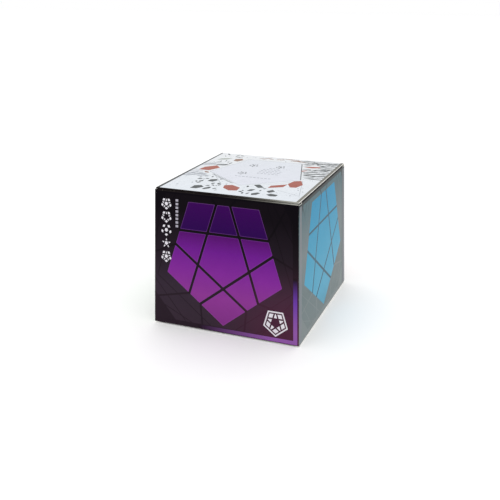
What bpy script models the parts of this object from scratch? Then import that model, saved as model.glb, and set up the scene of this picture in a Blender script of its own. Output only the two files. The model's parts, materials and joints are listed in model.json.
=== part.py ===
"""Boxed dodecahedron twisty puzzle: a tuck-top carton with a card tray, and the twelve-faced puzzle inside.

Frame: metres, +Z up, the carton's front towards -Y, origin at the middle of the carton's underside.

The puzzle is cut by two sets of twelve planes, one plane of each set square to each face axis. Outside
SHELL_RADIUS the planes stand at OUTER_CUT and part the visible blocks. Inside it they stand deeper, at
INNER_CUT, so each edge and corner block has a foot wider than its neck, which is caught under its
neighbours. Every surface that two layers share is a plane square to a turning axis or the shell sphere,
so any face can turn. Screws and springs hold the centres to the core, and the centres hold the rest.

Faces carry the letters puzzlers use: U up, F front, R, BR, BL and L round the upper ring, DR, DBR, DB,
DBL and DL round the lower ring, and D down. Faces F, BR and D share no piece, so their layers are modelled
as turning; the centres of the other nine are one piece with the core.
"""

import math

import bmesh
import bpy
from mathutils import Matrix, Vector

# Driving dimensions of the puzzle
EDGE = 0.033
CORNER_SHARE = 0.40  # of each edge, from its end to where the corner block stops
INNER_CUT = 0.0222
SHELL_RADIUS = 0.0343
PIECE_GAP = 0.0004
SHELL_GAP = 0.0008

# Regular dodecahedron
PHI = (1 + math.sqrt(5)) / 2
INRADIUS = EDGE * PHI**2 / (2 * math.sqrt(3 - PHI))
CIRCUMRADIUS = EDGE * math.sqrt(3) * PHI / 2
DIHEDRAL = 2 * math.atan(PHI)
OUTER_CUT = INRADIUS - CORNER_SHARE * EDGE * math.sin(math.radians(72)) * math.sin(DIHEDRAL)

# Core, centres, screws and springs, as distances out from the puzzle's centre
CORE_RADIUS = 0.0125
ARM_RADIUS = 0.0042
ARM_ROOT = 0.009
ARM_TOP = 0.0224
STEM_RADIUS = 0.007
STEM_TOP = 0.034
STEM_OVERLAP = 0.0015  # how far a fixed centre's stem runs up into its cap
BASE_BOTTOM = 0.0228
BASE_FLOOR = 0.025
BASE_BORE = 0.0035
SHANK_HOLE = 0.0016
SHANK_RADIUS = 0.00125
SHANK_END = 0.0125
SHANK_BORE_END = 0.012
HEAD_RADIUS = 0.003
HEAD_TOP_RADIUS = 0.0024
HEAD_BOTTOM = 0.0312
HEAD_TOP = 0.0328
RECESS_WIDTH = 0.0008
RECESS_LENGTH = 0.004
RECESS_DEPTH = 0.0009
POCKET_RADIUS = 0.0074
POCKET_TOP = 0.03435
SPRING_RADIUS = 0.0025
WIRE_RADIUS = 0.00035
SPRING_BOTTOM = 0.0257
SPRING_TOP = 0.0306
SPRING_TURNS = 4
SPRING_POINTS_PER_TURN = 9
RING_INNER, RING_OUTER = 0.0145, 0.0190  # the web that joins the D layer's feet
RING_BOTTOM, RING_TOP = 0.0240, 0.0270

# How finely round pieces are modelled
ARM_SIDES = 12
SCREW_SIDES = 12
ROUND_SIDES = 16
WEB_SIDES = 20
MERGE_DISTANCE = 0.00001

# Carton and tray
CARTON_WIDTH = 0.095
CARTON_DEPTH = 0.095
CARTON_HEIGHT = 0.083
BOARD = 0.0005
BOARD_GAP = 0.0003
FLAP_LENGTH = 0.030
FLAP_BACK_MARGIN = 0.004  # from the back wall to where a dust flap starts, at its crease
FLAP_FRONT_MARGIN = 0.004
FLAP_TIP_CUT = 0.006  # off a dust flap's front tip, lengthwise and across
TUCK_LENGTH = 0.014
TUCK_TILT = math.radians(8)
TUCK_SIDE_MARGIN = 0.003
TUCK_TAPER = 0.006
TUCK_SETBACK = 0.0007  # from the front wall's inside to the middle of the tuck flap's board
FLOOR_CLEARANCE = 0.0015
TRAY_DROP = 0.0245  # from the puzzle's centre down to the top of the tray
TRAY_HOLE_APOTHEM = 0.02915
PUZZLE_HEIGHT = BOARD + FLOOR_CLEARANCE + INRADIUS

RING_Z = 1 / math.sqrt(5)
RING_R = 2 / math.sqrt(5)
FIRST_AZIMUTH = math.radians(-90)
STEP_AZIMUTH = math.radians(72)
UPPER_RING = ("F", "R", "BR", "BL", "L")
LOWER_RING = ("DR", "DBR", "DB", "DBL", "DL")
TURNING = ("F", "BR", "D")

BLACK = (0.012, 0.011, 0.014)
STEEL = (0.62, 0.62, 0.64)
WHITE_BOARD = (0.82, 0.83, 0.86)
GREY_BOARD = (0.60, 0.58, 0.54)
FACE_COLOURS = {
    "U": (0.82, 0.83, 0.86),
    "F": (0.20, 0.02, 0.42),
    "R": (0.01, 0.22, 0.05),
    "BR": (0.62, 0.02, 0.03),
    "BL": (0.02, 0.09, 0.48),
    "L": (0.85, 0.60, 0.02),
    "DR": (0.11, 0.44, 0.68),
    "DBR": (0.78, 0.72, 0.45),
    "DB": (0.80, 0.20, 0.42),
    "DBL": (0.24, 0.62, 0.06),
    "DL": (0.85, 0.25, 0.02),
    "D": (0.22, 0.22, 0.24),
}


def face_axes():
    """The outward unit axis of each face, by its letter."""
    axes = {"U": Vector((0, 0, 1)), "D": Vector((0, 0, -1))}
    for ring, offset, height in ((UPPER_RING, 0.0, RING_Z), (LOWER_RING, 0.5, -RING_Z)):
        for step, face in enumerate(ring):
            azimuth = FIRST_AZIMUTH + (step + offset) * STEP_AZIMUTH
            axes[face] = Vector((RING_R * math.cos(azimuth), RING_R * math.sin(azimuth), height))
    return axes


AXES = face_axes()
FACES = list(AXES)


def adjacent(a, b):
    """Whether two faces share an edge."""
    return a != b and AXES[a].dot(AXES[b]) > 0


def edge_pairs():
    """Each pair of faces that shares an edge."""
    return [(a, b) for i, a in enumerate(FACES) for b in FACES[i + 1 :] if adjacent(a, b)]


def corner_triples():
    """Each three faces that share a vertex."""
    return [
        (a, b, c)
        for a, b in edge_pairs()
        for c in FACES[FACES.index(b) + 1 :]
        if adjacent(a, c) and adjacent(b, c)
    ]


def layer_of(faces):
    """The turning layer that a piece on these faces belongs to, or None if it stays with the core."""
    return next((face for face in faces if face in TURNING), None)


# Scene, objects and materials


def clear_scene():
    for obj in list(bpy.data.objects):
        bpy.data.objects.remove(obj)


def new_collection(name, hidden=False):
    collection = bpy.data.collections.new(name)
    collection.hide_render = hidden
    bpy.context.scene.collection.children.link(collection)
    return collection


def material(name, colour, roughness, metallic=0.0):
    made = bpy.data.materials.new(name)
    made.use_nodes = True
    shader = made.node_tree.nodes["Principled BSDF"]
    shader.inputs["Base Color"].default_value = (*colour, 1.0)
    shader.inputs["Roughness"].default_value = roughness
    shader.inputs["Metallic"].default_value = metallic
    return made


def mesh_from(bm, name):
    bmesh.ops.recalc_face_normals(bm, faces=bm.faces)
    mesh = bpy.data.meshes.new(name)
    bm.to_mesh(mesh)
    bm.free()
    return mesh


def tool(mesh, name):
    """A helper object for a Boolean: it shows as a wire and never renders."""
    obj = bpy.data.objects.new(name, mesh)
    obj.hide_render = True
    obj.display_type = "WIRE"
    TOOLS.objects.link(obj)
    return obj


def evaluated_mesh(obj, name):
    bpy.context.view_layer.update()
    graph = bpy.context.evaluated_depsgraph_get()
    mesh = bpy.data.meshes.new_from_object(obj.evaluated_get(graph))
    mesh.name = name
    return mesh


def combine(name, first, *steps):
    """The mesh left after each (operation, mesh) step is applied to the first mesh."""
    target = tool(first, name + "_target")
    helpers = [target]
    for number, (operation, mesh) in enumerate(steps):
        helper = tool(mesh, f"{name}_{operation.lower()}_{number}")
        helpers.append(helper)
        modifier = target.modifiers.new(operation.title(), "BOOLEAN")
        modifier.operation = operation
        modifier.solver = "EXACT"
        modifier.object = helper
    result = evaluated_mesh(target, name)
    for helper in helpers:
        bpy.data.objects.remove(helper)
    return result


def merged(name, placed):
    """One mesh from (mesh, matrix) pairs that don't touch."""
    bm = bmesh.new()
    for mesh, matrix in placed:
        before = len(bm.verts)
        bm.from_mesh(mesh)
        bm.verts.ensure_lookup_table()
        bmesh.ops.transform(bm, matrix=matrix, verts=bm.verts[before:])
    result = bpy.data.meshes.new(name)
    bm.to_mesh(result)
    bm.free()
    return result


def part(name, mesh, finish, matrix=Matrix.Identity(4), parent=None):
    """A named sub-part. Its finish is its own, so copies can share a mesh."""
    if not mesh.materials:
        mesh.materials.append(None)
    obj = bpy.data.objects.new(name, mesh)
    obj.matrix_world = matrix
    PARTS.objects.link(obj)
    obj.material_slots[0].link = "OBJECT"
    obj.material_slots[0].material = finish
    if parent:
        obj.parent = parent
    return obj


def pivot(name, location, parent=None):
    """An empty on a joint's axis, which carries the pieces that move there."""
    empty = bpy.data.objects.new(name, None)
    empty.location = location
    PARTS.objects.link(empty)
    empty.parent = parent
    return empty


# Shapes of the puzzle


def keep_below(bm, face, distance):
    """Cuts a convex body by the plane square to a face axis, and keeps the side of the centre."""
    split(bm, AXES[face] * distance, AXES[face])


def keep_beyond(bm, face, distance):
    """Cuts a convex body by the plane square to a face axis, and keeps the side of the face."""
    split(bm, AXES[face] * distance, -AXES[face])


def split(bm, point, removed_side):
    cut = bmesh.ops.bisect_plane(
        bm,
        geom=bm.verts[:] + bm.edges[:] + bm.faces[:],
        dist=1e-7,
        plane_co=point,
        plane_no=removed_side,
        clear_outer=True,
    )
    rim = [item for item in cut["geom_cut"] if isinstance(item, bmesh.types.BMEdge)]
    bmesh.ops.edgeloop_fill(bm, edges=rim)


def dodecahedron():
    bm = bmesh.new()
    for a, b, c in corner_triples():
        bm.verts.new((AXES[a] + AXES[b] + AXES[c]).normalized() * CIRCUMRADIUS)
    bmesh.ops.convex_hull(bm, input=bm.verts)
    bmesh.ops.dissolve_limit(bm, angle_limit=math.radians(1), verts=bm.verts, edges=bm.edges)
    return bm


def ball(radius, subdivisions=3):
    """A sphere whose twelve five-sided points lie on the face axes."""
    bm = bmesh.new()
    turn = Matrix.Rotation(FIRST_AZIMUTH, 4, "Z")
    bmesh.ops.create_icosphere(bm, subdivisions=subdivisions, radius=radius, matrix=turn)
    return bm


def cell(body, inside, cut, inset=0.0):
    """The part of a convex body beyond the named faces' cuts, and short of their neighbours' cuts."""
    gap = PIECE_GAP / 2 + inset
    for face in inside:
        keep_beyond(body, face, cut + gap)
    for face in FACES:
        if face not in inside and all(adjacent(face, named) for named in inside):
            keep_below(body, face, cut - gap)
    return body


def cylinder(radius, bottom, top, sides=ROUND_SIDES):
    bm = bmesh.new()
    middle = Matrix.Translation((0, 0, (bottom + top) / 2))
    bmesh.ops.create_cone(
        bm,
        cap_ends=True,
        segments=sides,
        radius1=radius,
        radius2=radius,
        depth=top - bottom,
        matrix=middle,
    )
    return bm


def box(low, high):
    bm = bmesh.new()
    size = Vector(high) - Vector(low)
    middle = (Vector(high) + Vector(low)) / 2
    bmesh.ops.create_cube(bm, size=1, matrix=Matrix.Translation(middle) @ Matrix.Diagonal((*size, 1)))
    return bm


def shell_cutter():
    return mesh_from(ball(SHELL_RADIUS + SHELL_GAP / 2), "shell_cutter")


def foot_body():
    return ball(SHELL_RADIUS - SHELL_GAP / 2)


NECK_INSET = 0.0002  # keeps a neck's sides off the planes of the foot and block it joins
CENTRE, EDGE_PAIR, CORNER_TRIPLE = ("U",), ("U", "F"), ("U", "F", "R")  # the pieces that are modelled


def corner_mesh():
    """A corner's block comes to a point inside its own foot, so the two simply join."""
    block = mesh_from(cell(dodecahedron(), CORNER_TRIPLE, OUTER_CUT), "corner_block")
    foot = mesh_from(cell(foot_body(), CORNER_TRIPLE, INNER_CUT), "corner_foot")
    return combine("corner", block, ("UNION", foot))


def edge_mesh():
    """An edge's block overhangs the corners' feet on both sides of its own neck."""
    block = mesh_from(cell(dodecahedron(), EDGE_PAIR, OUTER_CUT), "edge_block")
    foot = mesh_from(cell(foot_body(), EDGE_PAIR, INNER_CUT), "edge_foot")
    neck = cell(dodecahedron(), EDGE_PAIR, OUTER_CUT, NECK_INSET)
    for face in FACES:
        if face not in EDGE_PAIR and all(adjacent(face, named) for named in EDGE_PAIR):
            keep_below(neck, face, INNER_CUT - PIECE_GAP / 2 - NECK_INSET)
    split(neck, (AXES["U"] + AXES["F"]).normalized() * (SHELL_RADIUS + SHELL_GAP), AXES["U"] + AXES["F"])
    neck = mesh_from(neck, "edge_neck")
    return combine("edge", block, ("DIFFERENCE", shell_cutter()), ("UNION", foot), ("UNION", neck))


def cap_block():
    return mesh_from(cell(dodecahedron(), CENTRE, OUTER_CUT), "centre_block")


def centre_cap_mesh():
    """A turning centre's cap, with a pocket that drops over the top of its base."""
    pocket = mesh_from(cylinder(POCKET_RADIUS, BASE_BOTTOM, POCKET_TOP), "cap_pocket")
    return combine("centre_cap", cap_block(), ("DIFFERENCE", shell_cutter()), ("DIFFERENCE", pocket))


def fixed_centre_mesh():
    """A centre that stays with the core: cap, stem and arm in one."""
    stem = mesh_from(cylinder(STEM_RADIUS, BASE_BOTTOM, STEM_TOP + STEM_OVERLAP), "stem")
    arm = mesh_from(cylinder(ARM_RADIUS, ARM_ROOT, BASE_FLOOR, sides=ARM_SIDES), "arm")
    return combine(
        "fixed_centre", cap_block(), ("DIFFERENCE", shell_cutter()), ("UNION", stem), ("UNION", arm)
    )


def turned(name, profile, steps=ROUND_SIDES):
    """A solid turned about Z from (radius, height) points that run down its outer side."""
    bm = bmesh.new()
    points = [bm.verts.new((radius, 0, height)) for radius, height in profile]
    for first, second in zip(points, points[1:]):
        bm.edges.new((first, second))
    if profile[0][0] > 0 and profile[-1][0] > 0:
        bm.edges.new((points[-1], points[0]))
    mesh = bpy.data.meshes.new(name)
    bm.to_mesh(mesh)
    bm.free()
    obj = tool(mesh, name + "_profile")
    screw = obj.modifiers.new("Turn", "SCREW")
    screw.steps = steps
    screw.render_steps = steps
    screw.use_merge_vertices = True
    screw.merge_threshold = MERGE_DISTANCE
    result = evaluated_mesh(obj, name)
    bpy.data.objects.remove(obj)
    return result


def centre_base_mesh():
    """The round base of a turning centre: a cup whose floor the spring presses on."""
    profile = [
        (STEM_RADIUS, STEM_TOP),
        (STEM_RADIUS, BASE_BOTTOM),
        (SHANK_HOLE, BASE_BOTTOM),
        (SHANK_HOLE, BASE_FLOOR),
        (BASE_BORE, BASE_FLOOR),
        (BASE_BORE, STEM_TOP),
    ]
    return turned("centre_base", profile)


def screw_mesh():
    """Pan-head screw with a cross recess, driven into the core from outside."""
    profile = [
        (0, HEAD_TOP),
        (HEAD_TOP_RADIUS, HEAD_TOP),
        (HEAD_RADIUS, (HEAD_TOP + HEAD_BOTTOM) / 2),
        (HEAD_RADIUS, HEAD_BOTTOM),
        (SHANK_RADIUS, HEAD_BOTTOM),
        (SHANK_RADIUS, SHANK_END + SHANK_RADIUS),
        (0, SHANK_END),
    ]
    arms = []
    for reach in (Vector((RECESS_LENGTH, RECESS_WIDTH)) / 2, Vector((RECESS_WIDTH, RECESS_LENGTH)) / 2):
        low = (-reach.x, -reach.y, HEAD_TOP - RECESS_DEPTH)
        high = (reach.x, reach.y, HEAD_TOP + RECESS_DEPTH)
        arms.append(("DIFFERENCE", mesh_from(box(low, high), "recess")))
    return combine("screw", turned("screw_body", profile, steps=SCREW_SIDES), *arms)


def spring_mesh():
    """A compression spring: a poly curve along a helix."""
    curve = bpy.data.curves.new("spring_path", "CURVE")
    curve.dimensions = "3D"
    curve.bevel_depth = WIRE_RADIUS
    curve.bevel_resolution = 1
    curve.use_fill_caps = True
    count = SPRING_TURNS * SPRING_POINTS_PER_TURN + 1
    path = curve.splines.new("POLY")
    path.points.add(count - 1)
    for number, point in enumerate(path.points):
        share = number / (count - 1)
        angle = share * SPRING_TURNS * 2 * math.pi
        height = SPRING_BOTTOM + share * (SPRING_TOP - SPRING_BOTTOM)
        point.co = (SPRING_RADIUS * math.cos(angle), SPRING_RADIUS * math.sin(angle), height, 1)
    obj = bpy.data.objects.new("spring_path", curve)
    TOOLS.objects.link(obj)
    mesh = evaluated_mesh(obj, "spring")
    bpy.data.objects.remove(obj)
    bm = bmesh.new()
    bm.from_mesh(mesh)
    bmesh.ops.remove_doubles(bm, verts=bm.verts, dist=MERGE_DISTANCE)
    bm.to_mesh(mesh)
    bm.free()
    return mesh


def core_mesh(fixed_centre):
    """The core: a ball, an arm to each turning centre, and the nine fixed centres."""
    arm = mesh_from(cylinder(ARM_RADIUS, ARM_ROOT, ARM_TOP, sides=ARM_SIDES), "core_arm")
    limbs = merged(
        "core_limbs", [(arm if face in TURNING else fixed_centre, to_face(face)) for face in FACES]
    )
    bore_top = ARM_TOP + PIECE_GAP
    bore = mesh_from(cylinder(SHANK_HOLE, SHANK_BORE_END, bore_top, sides=ARM_SIDES), "screw_bore")
    bores = merged("screw_bores", [(bore, to_face(face)) for face in TURNING])
    hub = mesh_from(ball(CORE_RADIUS), "core_ball")
    return combine("core_frame", hub, ("UNION", limbs), ("DIFFERENCE", bores))


def bottom_ring_mesh(edge, corner):
    """The D layer's five edges and five corners, with a web that joins their feet."""
    pieces = [(edge, to_edge(pair)) for pair in edge_pairs() if "D" in pair]
    pieces += [(corner, to_corner(triple)) for triple in corner_triples() if "D" in triple]
    web = turned(
        "web",
        [
            (RING_OUTER, -RING_BOTTOM),
            (RING_OUTER, -RING_TOP),
            (RING_INNER, -RING_TOP),
            (RING_INNER, -RING_BOTTOM),
        ],
        steps=WEB_SIDES,
    )
    return combine("bottom_ring", web, ("UNION", merged("bottom_pieces", pieces)))


# Placing copies


def frame(first, second):
    """A right-handed frame whose X runs along first, and whose Y leans towards second."""
    x = first.normalized()
    z = x.cross(second).normalized()
    y = z.cross(x)
    return Matrix((x, y, z)).transposed().to_4x4()


def to_face(face):
    """Turns what is modelled on face U to another face."""
    neighbour = next(other for other in FACES if adjacent(face, other))
    return frame(AXES[face], AXES[neighbour]) @ frame(AXES["U"], AXES["F"]).inverted()


def to_edge(pair):
    a, b = (AXES[face] for face in pair)
    return frame(a + b, a) @ frame(AXES["U"] + AXES["F"], AXES["U"]).inverted()


def to_corner(triple):
    a, b, c = (AXES[face] for face in triple)
    model = sum((AXES[face] for face in CORNER_TRIPLE), Vector())
    return frame(a + b + c, a) @ frame(model, AXES["U"]).inverted()


def build_puzzle():
    """Every puzzle piece, under the pivot of its layer."""
    puzzle = pivot("puzzle_pivot", (0, 0, PUZZLE_HEIGHT))
    layers = {face: pivot(f"layer_{face}_pivot", (0, 0, 0), puzzle) for face in TURNING}
    layers[None] = puzzle
    bpy.context.view_layer.update()
    steel = material("spring_steel", STEEL, 0.3, 1.0)
    black = material("black_plastic", BLACK, 0.35)
    colours = {face: material(f"plastic_{face}", FACE_COLOURS[face], 0.3) for face in FACES}

    def place(name, mesh, finish, turn, layer):
        obj = part(name, mesh, finish, parent=layers[layer])
        obj.matrix_basis = turn
        return obj

    edge, corner, cap = edge_mesh(), corner_mesh(), centre_cap_mesh()
    base, screw, spring = centre_base_mesh(), screw_mesh(), spring_mesh()
    place("core_frame", core_mesh(fixed_centre_mesh()), black, Matrix.Identity(4), None)
    for face in TURNING:
        place(f"centre_cap_{face}", cap, colours[face], to_face(face), face)
        place(f"centre_base_{face}", base, black, to_face(face), face)
        place(f"screw_{face}", screw, steel, to_face(face), None)
        place(f"spring_{face}", spring, steel, to_face(face), None)
    for pair in edge_pairs():
        if "D" not in pair:
            place("edge_" + "_".join(pair), edge, colours[pair[0]], to_edge(pair), layer_of(pair))
    for triple in corner_triples():
        if "D" not in triple:
            name = "corner_" + "_".join(triple)
            place(name, corner, colours[triple[0]], to_corner(triple), layer_of(triple))
    place("bottom_ring", bottom_ring_mesh(edge, corner), black, Matrix.Identity(4), "D")


# The carton


def plate(name, outline, thickness):
    """A flat board: a filled outline in XY, from z 0 up to its thickness."""
    curve = bpy.data.curves.new(name, "CURVE")
    curve.dimensions = "2D"
    curve.fill_mode = "BOTH"
    curve.extrude = thickness / 2
    path = curve.splines.new("POLY")
    path.points.add(len(outline) - 1)
    for point, (x, y) in zip(path.points, outline):
        point.co = (x, y, 0, 1)
    path.use_cyclic_u = True
    obj = bpy.data.objects.new(name, curve)
    TOOLS.objects.link(obj)
    mesh = evaluated_mesh(obj, name)
    bpy.data.objects.remove(obj)
    bm = bmesh.new()
    bm.from_mesh(mesh)
    bmesh.ops.remove_doubles(bm, verts=bm.verts, dist=MERGE_DISTANCE)
    bmesh.ops.translate(bm, verts=bm.verts, vec=(0, 0, thickness / 2))
    return mesh_from(bm, name)


def carton_body_mesh():
    """Four walls and a floor. The side walls stop lower, under the dust flaps."""
    half_x, half_y = CARTON_WIDTH / 2, CARTON_DEPTH / 2
    wall_top = CARTON_HEIGHT - BOARD - BOARD_GAP
    side_top = wall_top - BOARD - BOARD_GAP
    outer = box((-half_x, -half_y, 0), (half_x, half_y, wall_top))
    inner = box((BOARD - half_x, BOARD - half_y, BOARD), (half_x - BOARD, half_y - BOARD, CARTON_HEIGHT))
    notch = box((-CARTON_WIDTH, BOARD - half_y, side_top), (CARTON_WIDTH, half_y - BOARD, CARTON_HEIGHT))
    return combine(
        "carton_body",
        mesh_from(outer, "carton_outside"),
        ("DIFFERENCE", mesh_from(inner, "carton_inside")),
        ("DIFFERENCE", mesh_from(notch, "flap_notch")),
    )


def tray_mesh():
    """A folded card platform with a five-sided hole, on four skirts."""
    half_x = CARTON_WIDTH / 2 - BOARD - BOARD_GAP
    half_y = CARTON_DEPTH / 2 - BOARD - BOARD_GAP
    top = PUZZLE_HEIGHT - TRAY_DROP
    foot = BOARD + BOARD_GAP
    outer = box((-half_x, -half_y, foot), (half_x, half_y, top))
    inner = box((BOARD - half_x, BOARD - half_y, 0), (half_x - BOARD, half_y - BOARD, top - BOARD))
    hole = cylinder(TRAY_HOLE_APOTHEM / math.cos(math.pi / 5), 0, CARTON_HEIGHT, sides=5)
    corner = max(hole.verts, key=lambda vert: vert.co.x).co
    turn = FIRST_AZIMUTH - math.atan2(corner.y, corner.x)
    bmesh.ops.rotate(hole, verts=hole.verts, matrix=Matrix.Rotation(turn, 3, "Z"))
    return combine(
        "inner_tray",
        mesh_from(outer, "tray_outside"),
        ("DIFFERENCE", mesh_from(inner, "tray_inside")),
        ("DIFFERENCE", mesh_from(hole, "tray_hole")),
    )


def build_carton():
    black = material("printed_board_black", BLACK, 0.2)
    white = material("printed_board_white", WHITE_BOARD, 0.3)
    grey = material("grey_board", GREY_BOARD, 0.8)
    half_x, half_y = CARTON_WIDTH / 2, CARTON_DEPTH / 2
    part("carton_body", carton_body_mesh(), black)
    part("inner_tray", tray_mesh(), grey)

    lid_crease = Vector((0, half_y, CARTON_HEIGHT - BOARD - BOARD_GAP / 2))
    lid_pivot = pivot("lid_pivot", lid_crease)
    outline = [(-half_x, 0), (-half_x, -CARTON_DEPTH), (half_x, -CARTON_DEPTH), (half_x, 0)]
    lid = part("carton_lid", plate("carton_lid", outline, BOARD), white, parent=lid_pivot)
    lid.location = (0, 0, BOARD_GAP / 2)

    tuck_crease = Vector((0, -CARTON_DEPTH + BOARD + TUCK_SETBACK, 0))
    tuck_pivot = pivot("tuck_pivot", tuck_crease, lid_pivot)
    root = half_x - TUCK_SIDE_MARGIN
    tip = root - TUCK_TAPER
    outline = [
        (-root, 0),
        (-root, TUCK_TAPER),
        (-tip, TUCK_LENGTH),
        (tip, TUCK_LENGTH),
        (root, TUCK_TAPER),
        (root, 0),
    ]
    tuck = part("lid_tuck_flap", plate("lid_tuck_flap", outline, BOARD), white, parent=tuck_pivot)
    tuck.rotation_euler = (math.radians(-90) + TUCK_TILT, 0, 0)
    tuck.location = (0, -BOARD / 2, -BOARD_GAP)

    flap_height = CARTON_HEIGHT - 2 * BOARD - 1.5 * BOARD_GAP
    back = half_y - FLAP_BACK_MARGIN
    front = -half_y + FLAP_FRONT_MARGIN
    for side, name in ((-1, "dust_flap_left"), (1, "dust_flap_right")):
        crease = pivot(name + "_pivot", (side * half_x, 0, flap_height))
        reach = -side * FLAP_LENGTH
        outline = [
            (0, back),
            (reach, back - FLAP_LENGTH),
            (reach, front + FLAP_TIP_CUT),
            (reach + side * FLAP_TIP_CUT, front),
            (0, front),
        ]
        flap = part(name, plate(name, outline, BOARD), black, parent=crease)
        flap.location = (0, 0, BOARD_GAP / 2)


clear_scene()
PARTS = new_collection("boxed_dodecahedron_puzzle")
TOOLS = new_collection("construction", hidden=True)
build_puzzle()
build_carton()
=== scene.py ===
"""Looks for the boxed dodecahedron puzzle: a printed, film-laminated carton, and the coloured puzzle inside it.

Lengths are metres, in the CAD's frame: +Z up, the carton's front towards -Y, the origin under its middle.
"""

import json
import math
import random

import bmesh
import bpy
from mathutils import Matrix, Vector
from mathutils.geometry import delaunay_2d_cdt


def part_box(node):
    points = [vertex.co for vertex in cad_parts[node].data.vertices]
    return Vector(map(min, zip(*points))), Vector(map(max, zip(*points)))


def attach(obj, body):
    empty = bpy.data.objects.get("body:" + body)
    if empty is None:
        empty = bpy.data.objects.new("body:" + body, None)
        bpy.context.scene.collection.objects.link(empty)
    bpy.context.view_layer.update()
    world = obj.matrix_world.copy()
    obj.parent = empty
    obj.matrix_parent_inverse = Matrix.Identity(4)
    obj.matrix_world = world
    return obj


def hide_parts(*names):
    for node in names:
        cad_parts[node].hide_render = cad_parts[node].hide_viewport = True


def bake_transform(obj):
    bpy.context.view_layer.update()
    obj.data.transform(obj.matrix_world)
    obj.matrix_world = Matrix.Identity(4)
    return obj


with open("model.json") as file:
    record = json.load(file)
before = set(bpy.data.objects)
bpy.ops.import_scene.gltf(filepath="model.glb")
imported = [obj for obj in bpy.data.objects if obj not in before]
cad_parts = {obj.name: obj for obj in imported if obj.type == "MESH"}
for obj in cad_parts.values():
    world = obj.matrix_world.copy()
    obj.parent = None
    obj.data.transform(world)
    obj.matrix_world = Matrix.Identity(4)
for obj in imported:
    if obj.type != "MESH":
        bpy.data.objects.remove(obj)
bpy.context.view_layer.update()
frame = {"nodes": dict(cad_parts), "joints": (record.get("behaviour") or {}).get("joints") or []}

MM = 0.001

# Carton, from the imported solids
BODY_LOW, BODY_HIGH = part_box("carton_body")
LID_LOW, LID_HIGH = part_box("carton_lid")
TUCK_LOW, TUCK_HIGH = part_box("lid_tuck_flap")
FLAP_LOW, FLAP_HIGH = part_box("dust_flap_right")
WIDTH = BODY_HIGH.x - BODY_LOW.x
HALF = WIDTH / 2
HEIGHT = LID_HIGH.z
BOARD = LID_HIGH.z - LID_LOW.z
WALL_TOP = BODY_HIGH.z
SIDE_TOP = FLAP_LOW.z - 0.3 * MM
CORNER_RADIUS = 0.7 * MM
FOLD_RADIUS = 0.75 * MM
BASE_GAP = 0.2 * MM
BASE_TUCK_INSET = 0.6 * MM
BASE_TUCK_HEIGHT = 12 * MM
WALL_BOTTOM = BOARD + BASE_GAP

# Puzzle
PHI = (1 + math.sqrt(5)) / 2
EDGE = 33 * MM
CORNER_SHARE = 0.40
INRADIUS = EDGE * PHI**2 / (2 * math.sqrt(3 - PHI))
CIRCUMRADIUS = EDGE * math.sqrt(3) * PHI / 2
OUTER_CUT = INRADIUS - CORNER_SHARE * EDGE * math.sin(math.radians(72)) * math.sin(2 * math.atan(PHI))
INNER_CUT = 22.2 * MM
SHELL_RADIUS = 34.3 * MM
PIECE_GAP = 0.4 * MM
SHELL_GAP = 0.8 * MM
PIECE_BEVEL = 0.45 * MM
TILE_MARGIN = 0.12 * MM
TILE_RISE = 0.1 * MM
PUZZLE_CENTRE = Vector(next(j for j in frame["joints"] if j["name"] == "bottom_layer_turn")["pos_m"])

RING_Z = 1 / math.sqrt(5)
RING_R = 2 / math.sqrt(5)
UPPER_RING = ("F", "R", "BR", "BL", "L")
LOWER_RING = ("DR", "DBR", "DB", "DBL", "DL")
LAYERS = {"F": "front_layer", "BR": "rear_layer", "D": "bottom_layer"}


def srgb(text):
    """A linear colour from a hex one."""
    values = [int(text[i : i + 2], 16) / 255 for i in (0, 2, 4)]
    return tuple(v / 12.92 if v <= 0.04045 else ((v + 0.055) / 1.055) ** 2.4 for v in values) + (1.0,)


# Materials


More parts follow.
